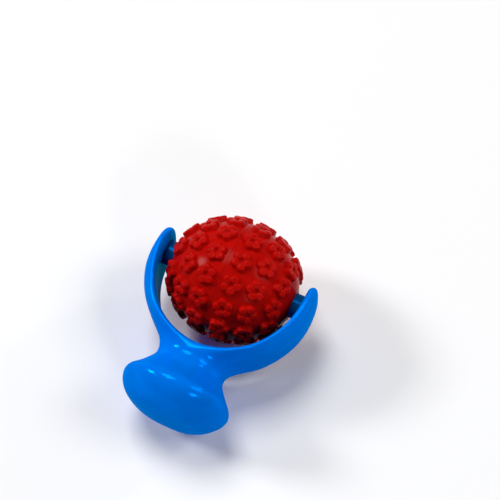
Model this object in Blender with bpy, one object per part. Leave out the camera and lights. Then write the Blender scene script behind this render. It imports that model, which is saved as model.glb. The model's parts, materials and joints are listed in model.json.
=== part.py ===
"""Clay texture roller: a crescent handle with a palm knob, and a flowered ball that spins between its arms.

World frame, in metres: the roller lies as it rests on a table, on the ball and the knob. +Z is up and the
axle runs along X. The knob points to -Y. The origin is on the table, under the middle of the object.
"""

import math

import bmesh
import bpy
import numpy as np
from mathutils import Matrix, Vector

# Clearances and overruns
SEAT_GAP = 0.0003
CUT_OVERRUN = 0.001

# Ball: bare surface, without the flowers
BALL_HALF_LENGTH = 0.0243
BALL_RADIUS = 0.0217
BALL_WALL = 0.0025
# Where the halves meet, from the ball's middle: a seam that keeps clear of the flowers
SEAM_PLACE = -0.00095
LIP_LENGTH = 0.002
LIP_THICKNESS = 0.001
HUB_WALL = 0.0016
BALL_SIDES = 30
BALL_RINGS = 6
CAVITY_RINGS = 2

# Flowers on the ball
FLOWER_RADIUS = 0.0039
FLOWER_RELIEF = 0.0017
FLOWER_ROOT = 0.0008
FLOWER_SPACE = 0.00095
ROW_SPACE = 0.0011
SEAM_BAND = 0.0017
ARC_STEPS = 400
PETALS = 5
# Outline of one petal, notch to notch: how far round the petal and how far out, as shares
PETAL_TURN_SHARES = (0.0, 0.24, 0.5, 0.76)
PETAL_REACH_SHARES = (0.72, 0.95, 1.0, 0.95)
# Heights on a petal, as shares of the relief: its edge, the notch beside it and the heart of the flower
PETAL_EDGE_SHARE = 0.8
PETAL_NOTCH_SHARE = 0.6
FLOWER_HEART_SHARE = 0.35
# Width of the top outline and place of a petal's highest point, as shares of the flower's radius
FLOWER_TOP_SHARE = 0.87
PETAL_CROWN_SHARE = 0.56
# How far each row is turned, as shares of the step between its flowers
ROW_TURN_SHARES = (0.0, 0.25, 0.0)

# Axle
AXLE_RADIUS = 0.0047
AXLE_SIDES = 24
AXLE_CHAMFER = 0.0005
SOCKET_DEPTH = 0.0025

# Handle: the crescent strap, its clearances round the ball and its straighter ends past the axle
ARM_CLEARANCE = 0.0033
CRESCENT_CLEARANCE = 0.007
ARM_END_DEPTH = 0.061
TIP_REACH = 0.0084
STRAP_HALF_HEIGHT_NECK = 0.0133
STRAP_HALF_HEIGHT_ARM = 0.0115
STRAP_THICKNESS_NECK = 0.0043
STRAP_THICKNESS_ARM = 0.005
STRAP_THICKNESS_TIP = 0.003
RIM_OFFSET = 0.0018
# Stations along the strap, from its middle to the last one before the tip, in degrees
STATION_ANGLES = (0.0, 30.0, 54.0, 79.0, 94.0)
# Heights on a section where its surface points lie, as shares of its half height
INNER_HEIGHT_SHARE = 0.8
OUTER_HEIGHT_SHARE = 0.62

# Handle: neck and palm knob
NECK_LENGTH = 0.0059
NECK_RADIUS = 0.0132
SHOULDER_LENGTH = 0.0128
KNOB_RADIUS = 0.0205
CROWN_HEIGHT = 0.0101
# Rings down the shoulder and over the end, as shares of the way
SHOULDER_SHARES = (0.3, 0.62)
END_SHARES = (0.7,)
HANDLE_LEVELS = 2

# Places that follow from the sizes: inner face of the crescent, then the neck and the knob behind the axle
BALL_REACH = BALL_RADIUS + FLOWER_RELIEF
YOKE_HALF_WIDTH = BALL_HALF_LENGTH + ARM_CLEARANCE
YOKE_DEPTH = BALL_REACH + CRESCENT_CLEARANCE
NECK_POSITION = YOKE_DEPTH + NECK_LENGTH
KNOB_POSITION = NECK_POSITION + SHOULDER_LENGTH
KNOB_END = KNOB_POSITION + CROWN_HEIGHT

# How the roller lies: it leans back until the knob touches the table too
KNOB_SLOPE = math.atan2(KNOB_RADIUS, KNOB_POSITION)
REST_PITCH = math.asin(BALL_REACH / math.hypot(KNOB_POSITION, KNOB_RADIUS)) - KNOB_SLOPE
LENGTH_MIDDLE = (BALL_REACH - KNOB_END * math.cos(REST_PITCH)) / 2
AXLE_PLACE = Vector((0.0, -LENGTH_MIDDLE, BALL_REACH))
UP = Vector((0.0, 0.0, 1.0))


def clear_scene():
    for thing in list(bpy.data.objects):
        bpy.data.objects.remove(thing, do_unlink=True)


def plastic(name, colour, roughness):
    material = bpy.data.materials.new(name)
    material.use_nodes = True
    shader = material.node_tree.nodes["Principled BSDF"]
    shader.inputs["Base Color"].default_value = (*colour, 1.0)
    shader.inputs["Roughness"].default_value = roughness
    shader.inputs["Metallic"].default_value = 0.0
    return material


def new_object(name, points, faces, material):
    mesh = bpy.data.meshes.new(name)
    mesh.from_pydata([tuple(point) for point in points], [], faces)
    mesh.validate()
    shape = bmesh.new()
    shape.from_mesh(mesh)
    bmesh.ops.recalc_face_normals(shape, faces=shape.faces)
    shape.to_mesh(mesh)
    shape.free()
    mesh.materials.append(material)
    thing = bpy.data.objects.new(name, mesh)
    bpy.context.collection.objects.link(thing)
    return thing


def shade(thing):
    thing.data.shade_smooth()
    thing.data.set_sharp_from_angle(angle=math.radians(35))


def boolean(thing, cutter, operation):
    cutter.hide_render = True
    cutter.display_type = "WIRE"
    modifier = thing.modifiers.new(operation.lower(), "BOOLEAN")
    modifier.operation = operation
    modifier.solver = "EXACT"
    modifier.object = cutter


def lathe(name, profile, sides, material):
    """Turn a closed profile of (distance along the axle, radius) pairs about the X axis."""
    points = []
    for turn in range(sides):
        angle = 2 * math.pi * turn / sides
        points += [(x, r * math.sin(angle), r * math.cos(angle)) for x, r in profile]
    count = len(profile)
    faces = []
    for turn in range(sides):
        here = turn * count
        there = (turn + 1) % sides * count
        for step in range(count):
            after = (step + 1) % count
            faces.append((here + step, here + after, there + after, there + step))
    return new_object(name, points, faces, material)


def surface_cage(points, faces):
    """Find the cage whose subdivision surface passes through the given points."""
    count = len(points)
    edges_of = [set() for _ in range(count)]
    corners_of = [[] for _ in range(count)]
    for face in faces:
        for corner in range(4):
            here = face[corner]
            edges_of[here].update((face[corner - 1], face[(corner + 1) % 4]))
            corners_of[here].append(face[(corner + 2) % 4])
    weights = np.zeros((count, count))
    for here in range(count):
        valence = len(edges_of[here])
        total = valence * (valence + 5)
        weights[here, here] = valence * valence / total
        for other in edges_of[here]:
            weights[here, other] += 4 / total
        for other in corners_of[here]:
            weights[here, other] += 1 / total
    return np.linalg.solve(weights, np.array([tuple(point) for point in points]))


def strap_point(angle, out, height):
    """A point of the strap: angle from the crescent's middle, distance out from the inner face, height."""
    depth = YOKE_DEPTH if math.cos(angle) > 0 else ARM_END_DEPTH
    x = YOKE_HALF_WIDTH * math.sin(angle)
    y = -depth * math.cos(angle)
    outward = Vector((math.sin(angle) / YOKE_HALF_WIDTH, -math.cos(angle) / depth, 0.0)).normalized()
    return Vector((x, y, height)) + outward * out


def strap_size(angle):
    """Thickness and half height of the strap at an angle from the middle of the crescent."""
    along = 1 - max(0.0, math.cos(angle))
    past = max(0.0, -math.cos(angle)) * ARM_END_DEPTH / TIP_REACH
    thickness = STRAP_THICKNESS_NECK + (STRAP_THICKNESS_ARM - STRAP_THICKNESS_NECK) * along
    thickness += (STRAP_THICKNESS_TIP - thickness) * past
    half_height = STRAP_HALF_HEIGHT_NECK + (STRAP_HALF_HEIGHT_ARM - STRAP_HALF_HEIGHT_NECK) * along
    half_height *= math.sqrt(max(0.0, 1 - past * past))
    return thickness, half_height


def strap_section(angle):
    """Eight surface points round the strap: inner face, upper rim, outer face, lower rim."""
    thickness, half_height = strap_size(angle)
    inner = INNER_HEIGHT_SHARE * half_height
    outer = OUTER_HEIGHT_SHARE * half_height
    bulge = RIM_OFFSET + (thickness - RIM_OFFSET) * math.sqrt(1 - OUTER_HEIGHT_SHARE ** 2)
    section = ((0.0, 0.0), (0.0, inner), (RIM_OFFSET, half_height), (bulge, outer), (thickness, 0.0))
    section += ((bulge, -outer), (RIM_OFFSET, -half_height), (0.0, -inner))
    return [strap_point(angle, out, height) for out, height in section]


def knob_radius(y):
    """Radius of the neck, its shoulder and the knob at a distance behind the axle."""
    if y > KNOB_POSITION:
        return KNOB_RADIUS * math.sqrt(1 - ((y - KNOB_POSITION) / CROWN_HEIGHT) ** 2)
    wave = (1 - math.cos(math.pi * (y - NECK_POSITION) / SHOULDER_LENGTH)) / 2
    return NECK_RADIUS + (KNOB_RADIUS - NECK_RADIUS) * wave


def knob_rings():
    """Distances behind the axle of the rings of points, from the neck to the last ring before the end."""
    shoulder = [NECK_POSITION + share * SHOULDER_LENGTH for share in SHOULDER_SHARES]
    end = [KNOB_POSITION + share * CROWN_HEIGHT for share in END_SHARES]
    return [NECK_POSITION, *shoulder, KNOB_POSITION, *end]


def build_handle(material):
    one_side = [math.radians(angle) for angle in STATION_ANGLES]
    angles = [-angle for angle in reversed(one_side[1:])] + one_side
    points = []
    faces = []
    around = 8
    for angle in angles:
        points += strap_section(angle)
    middle = len(angles) // 2
    for station in range(len(angles) - 1):
        for step in range(around):
            on_neck = station in (middle - 1, middle) and step in (3, 4)
            if on_neck:
                continue
            after = (step + 1) % around
            here = station * around
            faces.append((here + step, here + after, here + around + after, here + around + step))

    # The strap's ends: four faces round a point at the tip
    for station, angle in ((0, angles[0]), (len(angles) - 1, angles[-1])):
        tip_angle = math.copysign(math.pi / 2 + math.asin(TIP_REACH / ARM_END_DEPTH), angle)
        tip = len(points)
        points.append(strap_point(tip_angle, STRAP_THICKNESS_TIP / 2, 0.0))
        here = station * around
        for corner in (1, 3, 5, 7):
            before = here + corner - 1
            after = here + (corner + 1) % around
            faces.append((before, here + corner, after, tip))

    # The neck grows out of the four outer faces at the middle of the strap
    low, centre, high = ((middle + shift) * around for shift in (-1, 0, 1))
    ring = [high + 4, high + 3, centre + 3, low + 3, low + 4, low + 5, centre + 5, high + 5]
    top_y = -(YOKE_DEPTH + (RIM_OFFSET + NECK_LENGTH) / 2)
    points[centre + 3] = Vector((0.0, top_y, STRAP_HALF_HEIGHT_NECK))
    points[centre + 5] = Vector((0.0, top_y, -STRAP_HALF_HEIGHT_NECK))
    end = centre + 4
    for y in knob_rings():
        radius = knob_radius(y)
        start = len(points)
        for step in range(around):
            angle = 2 * math.pi * step / around
            points.append(Vector((radius * math.cos(angle), -y, radius * math.sin(angle))))
        fresh = list(range(start, start + around))
        for step in range(around):
            after = (step + 1) % around
            faces.append((ring[step], ring[after], fresh[after], fresh[step]))
        ring = fresh
    points[end] = Vector((0.0, -KNOB_END, 0.0))
    for corner in (1, 3, 5, 7):
        faces.append((ring[corner - 1], ring[corner], ring[(corner + 1) % around], end))

    handle = new_object("handle", surface_cage(points, faces), faces, material)
    subdivision = handle.modifiers.new("smooth skin", "SUBSURF")
    subdivision.levels = HANDLE_LEVELS
    subdivision.render_levels = HANDLE_LEVELS
    for side, name in ((-1, "left"), (1, "right")):
        mouth = side * (YOKE_HALF_WIDTH - CUT_OVERRUN)
        bottom = side * (YOKE_HALF_WIDTH + SOCKET_DEPTH)
        socket = rod("socket cutter " + name, mouth, bottom, AXLE_RADIUS + SEAT_GAP, material)
        boolean(handle, socket, "DIFFERENCE")
    return handle


def rod(name, start, end, radius, material):
    points = []
    for x in (start, end):
        for turn in range(AXLE_SIDES):
            angle = 2 * math.pi * turn / AXLE_SIDES
            points.append((x, radius * math.sin(angle), radius * math.cos(angle)))
    faces = [tuple(range(AXLE_SIDES)), tuple(range(2 * AXLE_SIDES - 1, AXLE_SIDES - 1, -1))]
    for turn in range(AXLE_SIDES):
        after = (turn + 1) % AXLE_SIDES
        faces.append((turn, after, AXLE_SIDES + after, AXLE_SIDES + turn))
    return new_object(name, points, faces, material)


def build_axle(material):
    half = YOKE_HALF_WIDTH + SOCKET_DEPTH - SEAT_GAP
    axle = rod("axle", -half, half, AXLE_RADIUS, material)
    bevel = axle.modifiers.new("end chamfer", "BEVEL")
    bevel.width = AXLE_CHAMFER
    bevel.segments = 1
    bevel.limit_method = "ANGLE"
    bevel.angle_limit = math.radians(60)
    return axle


def half_ball_profile(side):
    """Closed section of a hollow half ball with its hub: distances out from the ball's middle, and radii."""
    seam = side * SEAM_PLACE
    face = seam + SEAT_GAP / 2
    bore = AXLE_RADIUS + SEAT_GAP
    hub = bore + HUB_WALL
    start = math.asin(face / BALL_HALF_LENGTH)
    end = math.acos(bore / BALL_RADIUS)
    profile = []
    for ring in range(BALL_RINGS + 1):
        angle = start + (end - start) * ring / BALL_RINGS
        profile.append((BALL_HALF_LENGTH * math.sin(angle), BALL_RADIUS * math.cos(angle)))
    profile += [(face, bore), (face, hub)]
    inner_length = BALL_HALF_LENGTH - BALL_WALL
    inner_radius = BALL_RADIUS - BALL_WALL
    lip = inner_radius + LIP_THICKNESS
    rebate = lip + SEAT_GAP
    rebate_end = seam + LIP_LENGTH + SEAT_GAP
    start = math.acos(hub / inner_radius)
    end = math.asin(rebate_end / inner_length)
    for ring in range(CAVITY_RINGS + 1):
        angle = start + (end - start) * ring / CAVITY_RINGS
        profile.append((inner_length * math.sin(angle), inner_radius * math.cos(angle)))
    if side < 0:
        reach = face - LIP_LENGTH
        profile += [(reach, profile[-1][1]), (reach, lip), (face, lip)]
    else:
        profile += [(rebate_end, rebate), (face, rebate)]
    return profile


def flower_rows(side):
    """Angle on the ball's ellipse of each row of flowers on one half, from the seam towards the hub."""
    seam = math.asin(side * SEAM_PLACE / BALL_HALF_LENGTH)
    rows = []
    length = 0.0
    before = Vector((BALL_HALF_LENGTH * math.sin(seam), BALL_RADIUS * math.cos(seam)))
    target = FLOWER_RADIUS + SEAM_BAND / 2
    for step in range(1, ARC_STEPS + 1):
        angle = seam + (math.pi / 2 - seam) * step / ARC_STEPS
        here = Vector((BALL_HALF_LENGTH * math.sin(angle), BALL_RADIUS * math.cos(angle)))
        length += (here - before).length
        before = here
        clear_of_hub = here.y - FLOWER_RADIUS > AXLE_RADIUS + SEAT_GAP + HUB_WALL
        if length >= target and clear_of_hub:
            rows.append(angle)
            target += 2 * FLOWER_RADIUS + ROW_SPACE
    return rows


def flower(points, faces, place, turn):
    """Add one raised flower: sides down into the ball, domed petals, and a sunken heart between them."""
    root = []
    top = []
    crowns = []
    for petal in range(PETALS):
        for share, reach in zip(PETAL_TURN_SHARES, PETAL_REACH_SHARES):
            angle = turn + 2 * math.pi * (petal + share) / PETALS
            out = Vector((math.cos(angle), math.sin(angle), 0.0)) * reach * FLOWER_RADIUS
            edge = PETAL_EDGE_SHARE if share > 0 else PETAL_NOTCH_SHARE
            root.append(out - UP * FLOWER_ROOT)
            top.append(out * FLOWER_TOP_SHARE + UP * edge * FLOWER_RELIEF)
        angle = turn + math.pi * (2 * petal + 1) / PETALS
        out = Vector((math.cos(angle), math.sin(angle), 0.0)) * PETAL_CROWN_SHARE * FLOWER_RADIUS
        crowns.append(out + UP * FLOWER_RELIEF)
    start = len(points)
    count = len(root)
    crown = start + 2 * count
    heart = crown + PETALS
    points += [place @ point for point in root + top + crowns]
    points.append(place @ (UP * FLOWER_HEART_SHARE * FLOWER_RELIEF))
    faces.append(tuple(range(start + count - 1, start - 1, -1)))
    for step in range(count):
        after = (step + 1) % count
        petal = step // len(PETAL_TURN_SHARES)
        faces.append((start + step, start + after, start + count + after, start + count + step))
        faces.append((start + count + step, start + count + after, crown + petal))
    for petal in range(PETALS):
        notch = start + count + petal * len(PETAL_TURN_SHARES)
        before = crown + (petal - 1) % PETALS
        faces.append((notch, crown + petal, heart))
        faces.append((notch, heart, before))


def build_flowers(name, side, material):
    points = []
    faces = []
    for row, angle in enumerate(flower_rows(side)):
        x = side * BALL_HALF_LENGTH * math.sin(angle)
        radius = BALL_RADIUS * math.cos(angle)
        lean = math.atan2(side * math.sin(angle) * BALL_RADIUS, math.cos(angle) * BALL_HALF_LENGTH)
        count = round(2 * math.pi * radius / (2 * FLOWER_RADIUS + FLOWER_SPACE))
        # A petal of each row's first flower points to the hub or to the seam, row about
        first_turn = row + (1 if side > 0 else 0)
        for copy in range(count):
            round_axle = 2 * math.pi * (copy + ROW_TURN_SHARES[row % len(ROW_TURN_SHARES)]) / count
            place = Matrix.Rotation(-round_axle, 4, "X") @ Matrix.Translation((x, 0.0, radius))
            place = place @ Matrix.Rotation(lean, 4, "Y")
            flower(points, faces, place, math.pi / PETALS * (first_turn + copy))
    return new_object(name, points, faces, material)


def build_half_ball(name, side, material):
    profile = [(side * x, r) for x, r in half_ball_profile(side)]
    half = lathe(name, profile, BALL_SIDES, material)
    boolean(half, build_flowers(name + " flowers", side, material), "UNION")
    return half


def build():
    clear_scene()
    blue = plastic("blue plastic", (0.0, 0.13, 0.78), 0.2)
    dark_blue = plastic("axle plastic", (0.0, 0.1, 0.5), 0.25)
    red = plastic("red plastic", (0.62, 0.004, 0.002), 0.25)
    rest = bpy.data.objects.new("rest frame", None)
    rest.location = AXLE_PLACE
    rest.rotation_euler = (REST_PITCH, 0.0, 0.0)
    bpy.context.collection.objects.link(rest)
    pieces = [
        build_handle(blue),
        build_axle(dark_blue),
        build_half_ball("ball_left_half", -1, red),
        build_half_ball("ball_right_half", 1, red),
    ]
    for piece in pieces:
        shade(piece)
    for thing in bpy.data.objects:
        if thing is not rest:
            thing.parent = rest


build()
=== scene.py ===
"""Looks of the clay texture roller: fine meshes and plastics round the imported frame, plain studio, one camera."""

import json
import math

import bmesh
import bpy
import numpy as np
from mathutils import Matrix, Vector


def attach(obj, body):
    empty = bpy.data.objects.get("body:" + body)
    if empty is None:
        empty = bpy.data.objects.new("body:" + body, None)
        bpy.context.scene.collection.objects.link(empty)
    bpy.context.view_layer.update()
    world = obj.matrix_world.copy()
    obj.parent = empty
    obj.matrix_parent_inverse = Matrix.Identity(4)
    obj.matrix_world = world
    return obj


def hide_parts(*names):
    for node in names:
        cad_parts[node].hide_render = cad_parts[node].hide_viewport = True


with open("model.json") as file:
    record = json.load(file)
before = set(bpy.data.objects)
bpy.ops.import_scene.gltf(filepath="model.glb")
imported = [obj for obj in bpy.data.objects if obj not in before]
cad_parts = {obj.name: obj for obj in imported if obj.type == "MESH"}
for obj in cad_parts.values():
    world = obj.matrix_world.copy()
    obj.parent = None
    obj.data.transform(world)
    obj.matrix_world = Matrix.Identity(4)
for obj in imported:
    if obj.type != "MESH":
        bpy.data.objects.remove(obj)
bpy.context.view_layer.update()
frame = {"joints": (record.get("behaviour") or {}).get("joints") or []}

# Sizes of the roller, in metres, as the frame was built
SEAT_GAP = 0.0003
BALL_HALF_LENGTH = 0.0243
BALL_RADIUS = 0.0217
BALL_WALL = 0.0025
SEAM_PLACE = -0.00095
HUB_WALL = 0.0016
FLOWER_RADIUS = 0.0039
FLOWER_RELIEF = 0.0017
FLOWER_SPACE = 0.00095
ROW_SPACE = 0.0011
SEAM_BAND = 0.0017
ROW_TURN_SHARES = (0.0, 0.25, 0.0)
PETALS = 5
AXLE_RADIUS = 0.0047
AXLE_CHAMFER = 0.0005
SOCKET_DEPTH = 0.0025
ARM_CLEARANCE = 0.0033
CRESCENT_CLEARANCE = 0.007
ARM_END_DEPTH = 0.061
TIP_REACH = 0.0084
STRAP_HALF_HEIGHT_NECK = 0.0133
STRAP_HALF_HEIGHT_ARM = 0.0115
STRAP_THICKNESS_NECK = 0.0043
STRAP_THICKNESS_ARM = 0.005
STRAP_THICKNESS_TIP = 0.003
RIM_OFFSET = 0.0018
STATION_ANGLES = (0.0, 30.0, 54.0, 79.0, 94.0)
INNER_HEIGHT_SHARE = 0.8
OUTER_HEIGHT_SHARE = 0.62
NECK_LENGTH = 0.0059
NECK_RADIUS = 0.0132
SHOULDER_LENGTH = 0.0128
KNOB_RADIUS = 0.0205
CROWN_HEIGHT = 0.0101
SHOULDER_SHARES = (0.3, 0.62)
END_SHARES = (0.7,)
BALL_REACH = BALL_RADIUS + FLOWER_RELIEF
YOKE_HALF_WIDTH = BALL_HALF_LENGTH + ARM_CLEARANCE
YOKE_DEPTH = BALL_REACH + CRESCENT_CLEARANCE
NECK_POSITION = YOKE_DEPTH + NECK_LENGTH
KNOB_POSITION = NECK_POSITION + SHOULDER_LENGTH
KNOB_END = KNOB_POSITION + CROWN_HEIGHT

# Points round the strap, the neck and the knob, and which of the faces between them the neck takes the place of
SECTION_POINTS = 8
NECK_FACES = (3, 4)

# Fineness of the visible meshes
HANDLE_LEVELS = 4
AXLE_SIDES = 96
BALL_SIDES = 120
BALL_RINGS = 32
CAVITY_RINGS = 6
ARC_STEPS = 400
PETAL_STEPS = 12
CUT_OVERRUN = 0.001
WELD_DISTANCE = 0.000002
# Edges sharper than this, in degrees, stay sharp
HANDLE_EDGE = 40.0
BALL_EDGE = 48.0
# The halves of the ball nearly close here, as glued halves do
SEAM_GAP = 0.00006

# A petal is a round, flat-topped dome: its middle and radius as shares of the flower's radius
PETAL_PLACE_SHARE = 0.57
PETAL_RADIUS_SHARE = 0.43
NOTCH_BLEND_STEPS = 1
# Sides of a flower, from its root to its shoulder, as width and height shares, and the widths of its top
SIDE_SHARES = ((1.03, -0.47), (1.02, 0.02), (0.985, 0.14), (0.972, 0.4), (0.96, 0.52))
TOP_SHARES = (0.94, 0.91, 0.87, 0.81, 0.73, 0.64, 0.55, 0.46, 0.38, 0.31, 0.25, 0.19, 0.12)
PETAL_EDGE_SHARE = 0.42
PETAL_FLATNESS = 4
HEART_SHARE = 0.38
HEART_INNER_SHARE = 0.1
HEART_OUTER_SHARE = 0.27

# Camera: the photograph's, found by fitting the outlines of the roller, for an image of 500 by 500 pixels
IMAGE_PIXELS = 500
FOCAL_PIXELS = 1334.8
SENSOR_WIDTH_MM = 36.0
CAMERA_PLACE = (0.0969, -0.1643, 0.4688)
CAMERA_AZIMUTH = -26.36
CAMERA_ELEVATION = 63.87
CAMERA_ROLL = -1.17
CLIP_START = 0.01

# Lamps, at one distance from the ball: azimuth and elevation in degrees, width in metres, share of the floor's light
LIGHT_DISTANCE = 6.0
LAMPS = {
    "left_box": (-97.0, 35.0, 1.3, 0.2),
    "high_box": (-48.0, 66.0, 2.4, 0.385),
    "right_box": (66.0, 48.0, 2.4, 0.16),
    "back_lamp": (36.0, 26.0, 0.7, 0.03),
    "front_lamp": (134.0, 32.0, 0.9, 0.045),
}

# Surroundings: the strength of the light that they throw, and the strength at which they are seen
WORLD_COLOUR = (0.93, 0.96, 1.0)
WORLD_THROWN = 0.035
WORLD_SEEN = 0.6
FLOOR_HALF_SIZE = 3.0
FLOOR_COLOUR = (0.93, 0.93, 0.935)
FLOOR_ROUGHNESS = 0.6

# Plastics: dark, middle and light colour of the flow marks, roughness, ripple of the skin in metres, level and
# tint of the gloss, share of light that passes under the skin, and share that is mirrored in the plastic's colour
BLUE = {
    "name": "blue_plastic",
    "colours": ((0.0, 0.165, 0.79), (0.0, 0.18, 0.84), (0.0, 0.195, 0.88)),
    "roughness": 0.14,
    "ripple": 0.00003,
    "gloss": 0.0,
    "tint": (0.15, 1.0, 0.5),
    "subsurface": 0.0,
    "metallic": 0.14,
}
# The axle is the handle's own blue plastic; its colours are darkened as painted shade, for the shade that falls
# between the arms and the ball
AXLE_BLUE_PAINTED_SHADE = {
    "name": "axle_plastic_painted_shade",
    "colours": ((0.0, 0.065, 0.22), (0.0, 0.075, 0.26), (0.0, 0.085, 0.3)),
    "roughness": 0.18,
    "ripple": 0.00003,
    "gloss": 0.0,
    "tint": (1.0, 1.0, 1.0),
    "subsurface": 0.0,
    "metallic": 0.14,
}
RED = {
    "name": "red_plastic",
    "colours": ((0.415, 0.002, 0.0008), (0.47, 0.003, 0.0015), (0.51, 0.0045, 0.0025)),
    "roughness": 0.16,
    "ripple": 0.00002,
    "gloss": 0.03,
    "tint": (1.0, 0.85, 0.85),
    "subsurface": 0.6,
    "metallic": 0.0,
}
PLASTIC_IOR = 1.5
GLOW_RADIUS = (1.0, 0.1, 0.05)
GLOW_SCALE = 0.0015

# Grain: how the space of a noise is turned, in radians, and scaled, per metre
FLOW_TURN = (0.3, 0.5, 0.2)
FLOW_SCALE = (70.0, 35.0, 90.0)
FLOW_STOPS = (0.3, 0.52, 0.72)
FLOW_DETAIL = 3.0
FLOW_FINENESS = 0.55
SCRATCH_TURNS = ((0.4, 0.9, 0.3), (1.1, -0.5, 1.9))
SCRATCH_SCALES = ((260.0, 6200.0, 6200.0), (340.0, 7400.0, 7400.0))
SCRATCH_STOPS = ((0.66, (0.0, 0.0, 0.0)), (0.74, (1.0, 1.0, 1.0)))
SCRATCH_ROUGHNESS = 0.1
SCRATCH_RIPPLE_SHARE = 0.125
SCRATCH_STRENGTH = 0.5
HAZE_SCALE = 160.0
HAZE_DETAIL = 4.0
HAZE_ROUGHNESS = (-0.04, 0.05)
RIPPLE_SCALE = 420.0
RIPPLE_STRENGTH = 1.0
FINE_DETAIL = 2.0

# Where the frame puts the axle, and how far the roller leans back on its knob
SPIN = frame["joints"][0]
AXLE_PLACE = Vector(SPIN["pos_m"])
KNOB_SLOPE = math.atan2(KNOB_RADIUS, KNOB_POSITION)
REST_PITCH = math.asin(BALL_REACH / math.hypot(KNOB_POSITION, KNOB_RADIUS)) - KNOB_SLOPE
REST = Matrix.Translation(AXLE_PLACE) @ Matrix.Rotation(REST_PITCH, 4, "X")


def mesh_object(name, points, faces):
    """A new mesh object in the frame's own space, from points given in the roller's space."""
    mesh = bpy.data.meshes.new(name)
    mesh.from_pydata([tuple(REST @ Vector(point)) for point in points], [], faces)
    mesh.validate()
    shape = bmesh.new()
    shape.from_mesh(mesh)
    bmesh.ops.recalc_face_normals(shape, faces=shape.faces)
    shape.to_mesh(mesh)
    shape.free()
    thing = bpy.data.objects.new(name, mesh)
    bpy.context.scene.collection.objects.link(thing)
    return thing


def apply_modifiers(thing):
    """Replace the object's mesh with what its modifiers make of it."""
    view = bpy.context.evaluated_depsgraph_get()
    view.update()
    mesh = bpy.data.meshes.new_from_object(thing.evaluated_get(view), depsgraph=view)
    thing.modifiers.clear()
    thing.data = mesh


def weld(thing):
    """Merge points that all but touch, so that no face is left without an area."""
    shape = bmesh.new()
    shape.from_mesh(thing.data)
    bmesh.ops.remove_doubles(shape, verts=shape.verts, dist=WELD_DISTANCE)
    bmesh.ops.dissolve_degenerate(shape, dist=WELD_DISTANCE, edges=shape.edges)
    shape.to_mesh(thing.data)
    shape.free()


def boolean(thing, cutter, operation):
    """Join the other shape to the thing, or cut it out of it, and remove it."""
    modifier = thing.modifiers.new(operation.lower(), "BOOLEAN")
    modifier.operation = operation
    modifier.solver = "EXACT"
    modifier.object = cutter
    apply_modifiers(thing)
    weld(thing)
    bpy.data.objects.remove(cutter, do_unlink=True)


def smooth(thing, degrees):
    """Shade smooth over edges up to the angle."""
    thing.data.shade_smooth()
    thing.data.set_sharp_from_angle(angle=math.radians(degrees))


def lathe(name, profile, sides):
    """A closed profile of (distance along the axle, radius) pairs, turned about the axle."""
    points = []
    for turn in range(sides):
        angle = 2 * math.pi * turn / sides
        points += [(x, r * math.sin(angle), r * math.cos(angle)) for x, r in profile]
    count = len(profile)
    faces = []
    for turn in range(sides):
        here = turn * count
        there = (turn + 1) % sides * count
        for step in range(count):
            after = (step + 1) % count
            faces.append((here + step, here + after, there + after, there + step))
    return mesh_object(name, points, faces)


def surface_cage(points, faces):
    """Find the cage whose subdivision surface passes through the given points."""
    count = len(points)
    edges_of = [set() for _ in range(count)]
    corners_of = [[] for _ in range(count)]
    for face in faces:
        for corner in range(4):
            here = face[corner]
            edges_of[here].update((face[corner - 1], face[(corner + 1) % 4]))
            corners_of[here].append(face[(corner + 2) % 4])
    weights = np.zeros((count, count))
    for here in range(count):
        valence = len(edges_of[here])
        total = valence * (valence + 5)
        weights[here, here] = valence * valence / total
        for other in edges_of[here]:
            weights[here, other] += 4 / total
        for other in corners_of[here]:
            weights[here, other] += 1 / total
    return np.linalg.solve(weights, np.array([tuple(point) for point in points]))


def strap_point(angle, out, height):
    """A point of the strap: angle from the crescent's middle, distance out from the inner face, height."""
    depth = YOKE_DEPTH if math.cos(angle) > 0 else ARM_END_DEPTH
    x = YOKE_HALF_WIDTH * math.sin(angle)
    y = -depth * math.cos(angle)
    outward = Vector((math.sin(angle) / YOKE_HALF_WIDTH, -math.cos(angle) / depth, 0.0)).normalized()
    return Vector((x, y, height)) + outward * out


def strap_size(angle):
    """Thickness and half height of the strap at an angle from the middle of the crescent."""
    along = 1 - max(0.0, math.cos(angle))
    past = max(0.0, -math.cos(angle)) * ARM_END_DEPTH / TIP_REACH
    thickness = STRAP_THICKNESS_NECK + (STRAP_THICKNESS_ARM - STRAP_THICKNESS_NECK) * along
    thickness += (STRAP_THICKNESS_TIP - thickness) * past
    half_height = STRAP_HALF_HEIGHT_NECK + (STRAP_HALF_HEIGHT_ARM - STRAP_HALF_HEIGHT_NECK) * along
    half_height *= math.sqrt(max(0.0, 1 - past * past))
    return thickness, half_height


def strap_section(angle):
    """Eight surface points round the strap: inner face, upper rim, outer face, lower rim."""
    thickness, half_height = strap_size(angle)
    inner = INNER_HEIGHT_SHARE * half_height
    outer = OUTER_HEIGHT_SHARE * half_height
    bulge = RIM_OFFSET + (thickness - RIM_OFFSET) * math.sqrt(1 - OUTER_HEIGHT_SHARE ** 2)
    section = ((0.0, 0.0), (0.0, inner), (RIM_OFFSET, half_height), (bulge, outer), (thickness, 0.0))
    section += ((bulge, -outer), (RIM_OFFSET, -half_height), (0.0, -inner))
    return [strap_point(angle, out, height) for out, height in section]


def knob_radius(y):
    """Radius of the neck, its shoulder and the knob at a distance behind the axle."""
    if y > KNOB_POSITION:
        return KNOB_RADIUS * math.sqrt(1 - ((y - KNOB_POSITION) / CROWN_HEIGHT) ** 2)
    wave = (1 - math.cos(math.pi * (y - NECK_POSITION) / SHOULDER_LENGTH)) / 2
    return NECK_RADIUS + (KNOB_RADIUS - NECK_RADIUS) * wave


def knob_rings():
    """Distances behind the axle of the rings of points, from the neck to the last ring before the end."""
    shoulder = [NECK_POSITION + share * SHOULDER_LENGTH for share in SHOULDER_SHARES]
    end = [KNOB_POSITION + share * CROWN_HEIGHT for share in END_SHARES]
    return [NECK_POSITION, *shoulder, KNOB_POSITION, *end]


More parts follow.
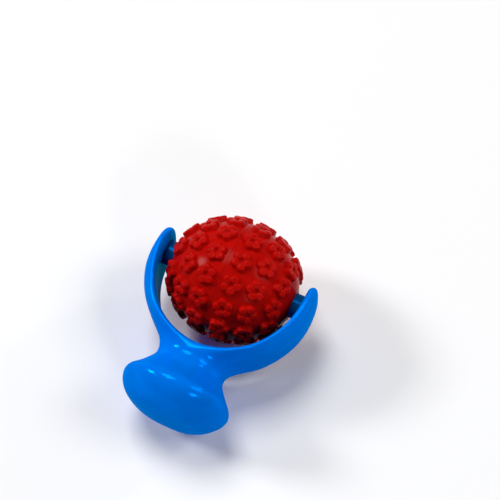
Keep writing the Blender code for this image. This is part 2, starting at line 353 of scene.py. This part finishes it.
def handle_surface():
    """Points and faces of the handle: a strap with closed tips, and the neck and knob grown from its middle."""
    one_side = [math.radians(angle) for angle in STATION_ANGLES]
    angles = [-angle for angle in reversed(one_side[1:])] + one_side
    points = []
    faces = []
    around = SECTION_POINTS
    for angle in angles:
        points += strap_section(angle)
    middle = len(angles) // 2
    for station in range(len(angles) - 1):
        for step in range(around):
            on_neck = station in (middle - 1, middle) and step in NECK_FACES
            if on_neck:
                continue
            after = (step + 1) % around
            here = station * around
            faces.append((here + step, here + after, here + around + after, here + around + step))

    # The strap's ends: four faces round a point at the tip
    for station, angle in ((0, angles[0]), (len(angles) - 1, angles[-1])):
        tip_angle = math.copysign(math.pi / 2 + math.asin(TIP_REACH / ARM_END_DEPTH), angle)
        tip = len(points)
        points.append(strap_point(tip_angle, STRAP_THICKNESS_TIP / 2, 0.0))
        here = station * around
        for corner in range(1, around, 2):
            faces.append((here + corner - 1, here + corner, here + (corner + 1) % around, tip))

    # The neck grows out of the four outer faces at the middle of the strap
    low, centre, high = ((middle + shift) * around for shift in (-1, 0, 1))
    ring = [high + 4, high + 3, centre + 3, low + 3, low + 4, low + 5, centre + 5, high + 5]
    top_y = -(YOKE_DEPTH + (RIM_OFFSET + NECK_LENGTH) / 2)
    points[centre + 3] = Vector((0.0, top_y, STRAP_HALF_HEIGHT_NECK))
    points[centre + 5] = Vector((0.0, top_y, -STRAP_HALF_HEIGHT_NECK))
    end = centre + 4
    for y in knob_rings():
        radius = knob_radius(y)
        start = len(points)
        for step in range(around):
            angle = 2 * math.pi * step / around
            points.append(Vector((radius * math.cos(angle), -y, radius * math.sin(angle))))
        for step in range(around):
            after = (step + 1) % around
            faces.append((ring[step], ring[after], start + after, start + step))
        ring = list(range(start, start + around))
    points[end] = Vector((0.0, -KNOB_END, 0.0))
    for corner in range(1, around, 2):
        faces.append((ring[corner - 1], ring[corner], ring[(corner + 1) % around], end))
    return points, faces


def rod(name, start, end, radius, chamfer):
    """A closed rod along the axle, with chamfered ends."""
    profile = [(start, radius - chamfer), (start + chamfer, radius), (end - chamfer, radius), (end, radius - chamfer)]
    points = []
    for x, r in profile:
        for turn in range(AXLE_SIDES):
            angle = 2 * math.pi * turn / AXLE_SIDES
            points.append((x, r * math.sin(angle), r * math.cos(angle)))
    rings = len(profile)
    faces = [tuple(range(AXLE_SIDES)), tuple(range((rings - 1) * AXLE_SIDES, rings * AXLE_SIDES))]
    for ring in range(rings - 1):
        for turn in range(AXLE_SIDES):
            here = ring * AXLE_SIDES
            after = (turn + 1) % AXLE_SIDES
            faces.append((here + turn, here + after, here + AXLE_SIDES + after, here + AXLE_SIDES + turn))
    return mesh_object(name, points, faces)


def make_handle():
    """The smooth handle, with the two sockets cut into its arms."""
    points, faces = handle_surface()
    handle = mesh_object("handle_skin", surface_cage(points, faces), faces)
    subdivision = handle.modifiers.new("smooth skin", "SUBSURF")
    subdivision.levels = HANDLE_LEVELS
    subdivision.render_levels = HANDLE_LEVELS
    apply_modifiers(handle)
    for side in (-1, 1):
        mouth = YOKE_HALF_WIDTH - CUT_OVERRUN
        bottom = YOKE_HALF_WIDTH + SOCKET_DEPTH
        start, end = sorted((side * mouth, side * bottom))
        cutter = rod("socket cutter", start, end, AXLE_RADIUS + SEAT_GAP, AXLE_CHAMFER / 2)
        boolean(handle, cutter, "DIFFERENCE")
    smooth(handle, HANDLE_EDGE)
    return handle


def make_axle():
    half = YOKE_HALF_WIDTH + SOCKET_DEPTH - SEAT_GAP
    axle = rod("axle_rod", -half, half, AXLE_RADIUS, AXLE_CHAMFER)
    smooth(axle, HANDLE_EDGE)
    return axle


def half_ball_profile(side):
    """Closed section of a hollow half ball with its hub: distances out from the ball's middle, and radii."""
    bore = AXLE_RADIUS + SEAT_GAP
    hub = bore + HUB_WALL
    face = side * SEAM_PLACE + SEAM_GAP / 2
    start = math.asin(face / BALL_HALF_LENGTH)
    end = math.acos(bore / BALL_RADIUS)
    profile = []
    for ring in range(BALL_RINGS + 1):
        angle = start + (end - start) * ring / BALL_RINGS
        profile.append((BALL_HALF_LENGTH * math.sin(angle), BALL_RADIUS * math.cos(angle)))
    profile += [(face, bore), (face, hub)]
    inner_length = BALL_HALF_LENGTH - BALL_WALL
    inner_radius = BALL_RADIUS - BALL_WALL
    start = math.acos(hub / inner_radius)
    end = math.asin(face / inner_length)
    for ring in range(CAVITY_RINGS + 1):
        angle = start + (end - start) * ring / CAVITY_RINGS
        profile.append((inner_length * math.sin(angle), inner_radius * math.cos(angle)))
    return profile


def flower_rows(side):
    """Angle on the ball's ellipse of each row of flowers on one half, from the seam towards the hub."""
    seam = math.asin(side * SEAM_PLACE / BALL_HALF_LENGTH)
    rows = []
    length = 0.0
    before = Vector((BALL_HALF_LENGTH * math.sin(seam), BALL_RADIUS * math.cos(seam)))
    target = FLOWER_RADIUS + SEAM_BAND / 2
    for step in range(1, ARC_STEPS + 1):
        angle = seam + (math.pi / 2 - seam) * step / ARC_STEPS
        here = Vector((BALL_HALF_LENGTH * math.sin(angle), BALL_RADIUS * math.cos(angle)))
        length += (here - before).length
        before = here
        clear_of_hub = here.y - FLOWER_RADIUS > AXLE_RADIUS + SEAT_GAP + HUB_WALL
        if length >= target and clear_of_hub:
            rows.append(angle)
            target += 2 * FLOWER_RADIUS + ROW_SPACE
    return rows


def petal_outline():
    """Distance of a flower's edge from its heart, as shares of its radius, over one turn."""
    steps = PETALS * PETAL_STEPS
    reach = []
    for step in range(steps):
        off = 2 * math.pi * ((step / PETAL_STEPS) % 1 - 1 / 2) / PETALS
        across = PETAL_PLACE_SHARE * math.sin(off)
        reach.append(PETAL_PLACE_SHARE * math.cos(off) + math.sqrt(PETAL_RADIUS_SHARE ** 2 - across ** 2))
    blend = range(-NOTCH_BLEND_STEPS, NOTCH_BLEND_STEPS + 1)
    return [sum(reach[(step + shift) % steps] for shift in blend) / len(blend) for step in range(steps)]


def petal_height(point):
    """Height of a flower's top over a point of its plan, both as shares."""
    best = PETAL_EDGE_SHARE
    for petal in range(PETALS):
        angle = 2 * math.pi * (petal + 1 / 2) / PETALS
        middle = Vector((math.cos(angle), math.sin(angle))) * PETAL_PLACE_SHARE
        near = max(0.0, 1 - ((point - middle).length / PETAL_RADIUS_SHARE) ** PETAL_FLATNESS)
        best = max(best, PETAL_EDGE_SHARE + (1 - PETAL_EDGE_SHARE) * math.sqrt(near))
    way = (point.length - HEART_INNER_SHARE) / (HEART_OUTER_SHARE - HEART_INNER_SHARE)
    way = min(max(way, 0.0), 1.0)
    return HEART_SHARE + (best - HEART_SHARE) * way * way * (3 - 2 * way)


def flower_shape():
    """Points and faces of one flower, standing on the XY plane, with its first notch towards +X."""
    outline = petal_outline()
    steps = len(outline)
    plan = []
    for step, reach in enumerate(outline):
        angle = 2 * math.pi * step / steps
        plan.append(Vector((math.cos(angle), math.sin(angle))) * reach)
    points = []
    for width, height in SIDE_SHARES:
        points += [(*(p * width * FLOWER_RADIUS), height * FLOWER_RELIEF) for p in plan]
    for width in TOP_SHARES:
        points += [(*(p * width * FLOWER_RADIUS), petal_height(p * width) * FLOWER_RELIEF) for p in plan]
    heart = len(points)
    points.append((0.0, 0.0, HEART_SHARE * FLOWER_RELIEF))
    faces = [tuple(reversed(range(steps)))]
    rings = len(SIDE_SHARES) + len(TOP_SHARES)
    for ring in range(rings - 1):
        here = ring * steps
        for step in range(steps):
            after = (step + 1) % steps
            faces.append((here + step, here + after, here + steps + after, here + steps + step))
    here = (rings - 1) * steps
    for step in range(steps):
        faces.append((here + step, here + (step + 1) % steps, heart))
    return points, faces


def make_flowers(name, side):
    """All the flowers of one half of the ball, as one mesh."""
    shape_points, shape_faces = flower_shape()
    points = []
    faces = []
    for row, angle in enumerate(flower_rows(side)):
        x = side * BALL_HALF_LENGTH * math.sin(angle)
        radius = BALL_RADIUS * math.cos(angle)
        lean = math.atan2(side * math.sin(angle) * BALL_RADIUS, math.cos(angle) * BALL_HALF_LENGTH)
        count = round(2 * math.pi * radius / (2 * FLOWER_RADIUS + FLOWER_SPACE))
        first_turn = row + (1 if side > 0 else 0)
        for copy in range(count):
            round_axle = 2 * math.pi * (copy + ROW_TURN_SHARES[row % len(ROW_TURN_SHARES)]) / count
            place = Matrix.Rotation(-round_axle, 4, "X") @ Matrix.Translation((x, 0.0, radius))
            place = place @ Matrix.Rotation(lean, 4, "Y")
            place = place @ Matrix.Rotation(math.pi / PETALS * (first_turn + copy), 4, "Z")
            start = len(points)
            points += [place @ Vector(point) for point in shape_points]
            faces += [tuple(start + corner for corner in face) for face in shape_faces]
    return mesh_object(name, points, faces)


def make_half_ball(name, side):
    """One half of the ball with its flowers: side is -1 for the left half and 1 for the right."""
    profile = [(side * x, r) for x, r in half_ball_profile(side)]
    half = lathe(name, profile, BALL_SIDES)
    boolean(half, make_flowers(name + "_flowers", side), "UNION")
    smooth(half, BALL_EDGE)
    return half


def node(material, kind, **values):
    """A new shader node in a material or world."""
    made = material.node_tree.nodes.new("ShaderNode" + kind)
    for key, value in values.items():
        setattr(made, key, value)
    return made


def wire(material, out, into):
    material.node_tree.links.new(out, into)


def ramp(material, value, stops):
    """Colour by value, from (place, colour) stops."""
    made = node(material, "ValToRGB")
    wire(material, value, made.inputs["Fac"])
    elements = made.color_ramp.elements
    while len(elements) < len(stops):
        elements.new(0.5)
    for element, (place, colour) in zip(elements, stops):
        element.position = place
        element.color = (*colour, 1.0)
    return made.outputs["Color"]


def noise(material, vector, scale, detail, roughness=0.5):
    made = node(material, "TexNoise")
    wire(material, vector, made.inputs["Vector"])
    made.inputs["Scale"].default_value = scale
    made.inputs["Detail"].default_value = detail
    made.inputs["Roughness"].default_value = roughness
    return made.outputs["Fac"]


def stretched(material, vector, turn, scale):
    """The vector, turned and scaled."""
    made = node(material, "Mapping")
    wire(material, vector, made.inputs["Vector"])
    made.inputs["Rotation"].default_value = turn
    made.inputs["Scale"].default_value = scale
    return made.outputs["Vector"]


def spread(material, value, low, high):
    """A value from 0 to 1, spread from low to high."""
    made = node(material, "MapRange")
    wire(material, value, made.inputs["Value"])
    made.inputs["To Min"].default_value = low
    made.inputs["To Max"].default_value = high
    return made.outputs["Result"]


def add_bump(material, height, distance, strength, below=None):
    """Normals of a height in metres, on top of the normals below it."""
    made = node(material, "Bump")
    wire(material, height, made.inputs["Height"])
    made.inputs["Distance"].default_value = distance
    made.inputs["Strength"].default_value = strength
    if below is not None:
        wire(material, below, made.inputs["Normal"])
    return made.outputs["Normal"]


def moulded_plastic(name, colours, roughness, ripple, gloss, tint, subsurface, metallic):
    """Glossy moulded plastic: faint flow marks in the colour, hairline scratches, and a slightly rippled skin."""
    material = bpy.data.materials.new(name)
    material.use_nodes = True
    shader = material.node_tree.nodes["Principled BSDF"]
    place = node(material, "TexCoord").outputs["Object"]
    flow = noise(material, stretched(material, place, FLOW_TURN, FLOW_SCALE), 1.0, FLOW_DETAIL, FLOW_FINENESS)
    wire(material, ramp(material, flow, tuple(zip(FLOW_STOPS, colours))), shader.inputs["Base Color"])

    hair = node(material, "Math", operation="MAXIMUM")
    for socket, turn, scale in zip(hair.inputs, SCRATCH_TURNS, SCRATCH_SCALES):
        wire(material, noise(material, stretched(material, place, turn, scale), 1.0, FINE_DETAIL), socket)
    lines = ramp(material, hair.outputs["Value"], SCRATCH_STOPS)
    haze = noise(material, place, HAZE_SCALE, HAZE_DETAIL)
    base = spread(material, haze, *(roughness + change for change in HAZE_ROUGHNESS))
    rough = node(material, "Math", operation="MULTIPLY_ADD")
    wire(material, lines, rough.inputs[0])
    rough.inputs[1].default_value = SCRATCH_ROUGHNESS
    wire(material, base, rough.inputs[2])
    wire(material, rough.outputs["Value"], shader.inputs["Roughness"])

    skin = noise(material, place, RIPPLE_SCALE, FINE_DETAIL)
    rippled = add_bump(material, skin, ripple, RIPPLE_STRENGTH)
    scratched = add_bump(material, lines, ripple * SCRATCH_RIPPLE_SHARE, SCRATCH_STRENGTH, rippled)
    wire(material, scratched, shader.inputs["Normal"])
    shader.inputs["IOR"].default_value = PLASTIC_IOR
    shader.inputs["Metallic"].default_value = metallic
    shader.inputs["Specular IOR Level"].default_value = gloss
    shader.inputs["Specular Tint"].default_value = (*tint, 1.0)
    shader.inputs["Subsurface Weight"].default_value = subsurface
    shader.inputs["Subsurface Radius"].default_value = GLOW_RADIUS
    shader.inputs["Subsurface Scale"].default_value = GLOW_SCALE
    return material


def dress(piece, material, body, cad_node):
    """Give the piece its material, body and slot, and let it stand for its node."""
    piece.data.materials.clear()
    piece.data.materials.append(material)
    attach(piece, body)
    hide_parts(cad_node)


def make_floor():
    mesh = bpy.data.meshes.new("floor")
    half = FLOOR_HALF_SIZE
    corners = [(-half, -half, 0.0), (half, -half, 0.0), (half, half, 0.0), (-half, half, 0.0)]
    mesh.from_pydata(corners, [], [(0, 1, 2, 3)])
    floor = bpy.data.objects.new("floor", mesh)
    bpy.context.scene.collection.objects.link(floor)
    material = bpy.data.materials.new("pale_floor")
    material.use_nodes = True
    shader = material.node_tree.nodes["Principled BSDF"]
    shader.inputs["Base Color"].default_value = (*FLOOR_COLOUR, 1.0)
    shader.inputs["Roughness"].default_value = FLOOR_ROUGHNESS
    mesh.materials.append(material)


def soft_box(name, azimuth, elevation, width, share):
    """A square soft box, by its direction from the ball, its width and its share of the light on the floor."""
    data = bpy.data.lights.new(name, "AREA")
    data.size = width
    turn, rise = math.radians(azimuth), math.radians(elevation)
    data.energy = share * 4 * math.pi * LIGHT_DISTANCE ** 2 / math.sin(rise)
    light = bpy.data.objects.new(name, data)
    bpy.context.scene.collection.objects.link(light)
    way = Vector((math.sin(turn) * math.cos(rise), math.cos(turn) * math.cos(rise), math.sin(rise)))
    light.location = AXLE_PLACE + way * LIGHT_DISTANCE
    light.rotation_euler = way.to_track_quat("Z", "Y").to_euler()


def make_lights():
    for name, values in LAMPS.items():
        soft_box(name, *values)


def make_world():
    """Plain pale surroundings, dimmer for the light that they throw than as they are seen."""
    world = bpy.data.worlds.new("studio")
    bpy.context.scene.world = world
    world.use_nodes = True
    background = world.node_tree.nodes["Background"]
    background.inputs["Color"].default_value = (*WORLD_COLOUR, 1.0)
    path = node(world, "LightPath")
    mirrored = node(world, "Math", operation="MAXIMUM")
    wire(world, path.outputs["Is Glossy Ray"], mirrored.inputs[0])
    wire(world, path.outputs["Is Transmission Ray"], mirrored.inputs[1])
    seen = node(world, "Math", operation="MAXIMUM")
    wire(world, path.outputs["Is Camera Ray"], seen.inputs[0])
    wire(world, mirrored.outputs["Value"], seen.inputs[1])
    strength = spread(world, seen.outputs["Value"], WORLD_THROWN, WORLD_SEEN)
    wire(world, strength, background.inputs["Strength"])


def make_camera():
    data = bpy.data.cameras.new("camera")
    data.sensor_width = SENSOR_WIDTH_MM
    data.lens = FOCAL_PIXELS / IMAGE_PIXELS * SENSOR_WIDTH_MM
    data.clip_start = CLIP_START
    camera = bpy.data.objects.new("camera", data)
    bpy.context.scene.collection.objects.link(camera)
    turn = Matrix.Rotation(math.radians(-CAMERA_AZIMUTH), 4, "Z")
    tilt = Matrix.Rotation(math.pi / 2 - math.radians(CAMERA_ELEVATION), 4, "X")
    roll = Matrix.Rotation(math.radians(CAMERA_ROLL), 4, "Z")
    camera.matrix_world = Matrix.Translation(CAMERA_PLACE) @ turn @ tilt @ roll
    bpy.context.scene.camera = camera


def make_roller():
    blue = moulded_plastic(**BLUE)
    axle_shaded_blue = moulded_plastic(**AXLE_BLUE_PAINTED_SHADE)
    red = moulded_plastic(**RED)
    dress(make_handle(), blue, "holder", "handle")
    dress(make_axle(), axle_shaded_blue, "holder", "axle")
    dress(make_half_ball("ball_left_skin", -1), red, "ball", "ball_left_half")
    dress(make_half_ball("ball_right_skin", 1), red, "ball", "ball_right_half")


make_camera()
make_roller()
make_floor()
make_lights()
make_world()
bpy.context.scene.view_settings.view_transform = "Standard"
